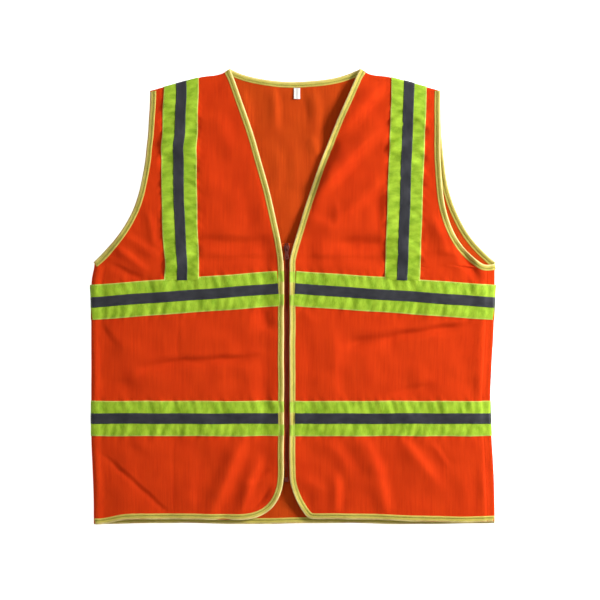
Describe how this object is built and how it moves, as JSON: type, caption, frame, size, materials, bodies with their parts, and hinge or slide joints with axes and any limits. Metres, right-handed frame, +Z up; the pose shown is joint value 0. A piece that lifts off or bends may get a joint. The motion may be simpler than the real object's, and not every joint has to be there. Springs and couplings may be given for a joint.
{
  "type": "high visibility vest",
  "caption": "Sleeveless mesh safety vest laid flat, with fluorescent and reflective bands, bound edges and a front zip.",
  "frame": {"origin": "on the surface the vest lies on, under the middle of its bounding box", "axes": "+X to the wearer's left, +Y from the hem to the neck, +Z up out of the front"},
  "size_m": [0.5764, 0.6479, 0.0142],
  "materials": {
    "orange_cloth": "fluorescent orange knit",
    "fluorescent_tape": "woven tape",
    "reflective_stripe": "retroreflective film, dark when not lit from the viewer's side",
    "binding": "folded binding tape",
    "zip_tape": "woven",
    "zip_nylon": "nylon coil",
    "zip_metal": "painted",
    "label": "plain woven"
  },
  "bodies": {
    "vest": {"back_panel": "orange_cloth", "neck_binding": "binding", "hem_binding_back": "binding", "chest_tape_back": "fluorescent_tape", "chest_stripe_back": "reflective_stripe", "waist_tape_back": "fluorescent_tape", "waist_stripe_back": "reflective_stripe", "size_label": "label", "shoulder_tape_back_right": "fluorescent_tape", "shoulder_stripe_back_right": "reflective_stripe", "shoulder_tape_front_right": "fluorescent_tape", "shoulder_stripe_front_right": "reflective_stripe", "front_panel_right_side": "orange_cloth", "side_seam_right": "orange_cloth", "shoulder_seam_right": "orange_cloth", "armhole_binding_right": "binding", "neckline_binding_right": "binding", "hem_binding_right": "binding", "chest_tape_right_side": "fluorescent_tape", "chest_stripe_right_side": "reflective_stripe", "waist_tape_right_side": "fluorescent_tape", "waist_stripe_right_side": "reflective_stripe", "shoulder_tape_back_left": "fluorescent_tape", "shoulder_stripe_back_left": "reflective_stripe", "shoulder_tape_front_left": "fluorescent_tape", "shoulder_stripe_front_left": "reflective_stripe", "front_panel_left_side": "orange_cloth", "side_seam_left": "orange_cloth", "shoulder_seam_left": "orange_cloth", "armhole_binding_left": "binding", "neckline_binding_left": "binding", "hem_binding_left": "binding", "chest_tape_left_side": "fluorescent_tape", "chest_stripe_left_side": "reflective_stripe", "waist_tape_left_side": "fluorescent_tape", "waist_stripe_left_side": "reflective_stripe"},
    "right_flap": {"front_panel_right_flap": "orange_cloth", "front_binding_right": "binding", "chest_tape_right_flap": "fluorescent_tape", "chest_stripe_right_flap": "reflective_stripe", "waist_tape_right_flap": "fluorescent_tape", "waist_stripe_right_flap": "reflective_stripe", "zip_tape_right": "zip_tape", "zip_coil_right": "zip_nylon", "zip_stop_right": "zip_metal", "insertion_pin": "zip_metal"},
    "left_flap": {"front_panel_left_flap": "orange_cloth", "front_binding_left": "binding", "chest_tape_left_flap": "fluorescent_tape", "chest_stripe_left_flap": "reflective_stripe", "waist_tape_left_flap": "fluorescent_tape", "waist_stripe_left_flap": "reflective_stripe", "zip_tape_left": "zip_tape", "zip_coil_left": "zip_nylon", "zip_stop_left": "zip_metal", "retainer_box": "zip_metal"},
    "slider": {"slider_body": "zip_metal"},
    "pull": {"slider_pull": "zip_metal"}
  },
  "joints": [
    {"name": "right_front_open", "type": "hinge", "parent": "vest", "child": "right_flap", "pos_m": [-0.084, 0, 0.0136], "axis": [0, -1, 0], "range_deg": [0, 170]},
    {"name": "left_front_open", "type": "hinge", "parent": "vest", "child": "left_flap", "pos_m": [0.09, 0, 0.0136], "axis": [0, 1, 0], "range_deg": [0, 170]},
    {"name": "slider_travel", "type": "slide", "parent": "left_flap", "child": "slider", "axis": [0, -1, 0], "range_m": [0, 0.3195]},
    {"name": "pull_swing", "type": "hinge", "parent": "slider", "child": "pull", "pos_m": [-0.009, 0.06765, 0.0125], "axis": [-1, 0, 0], "range_deg": [0, 165]}
  ]
}
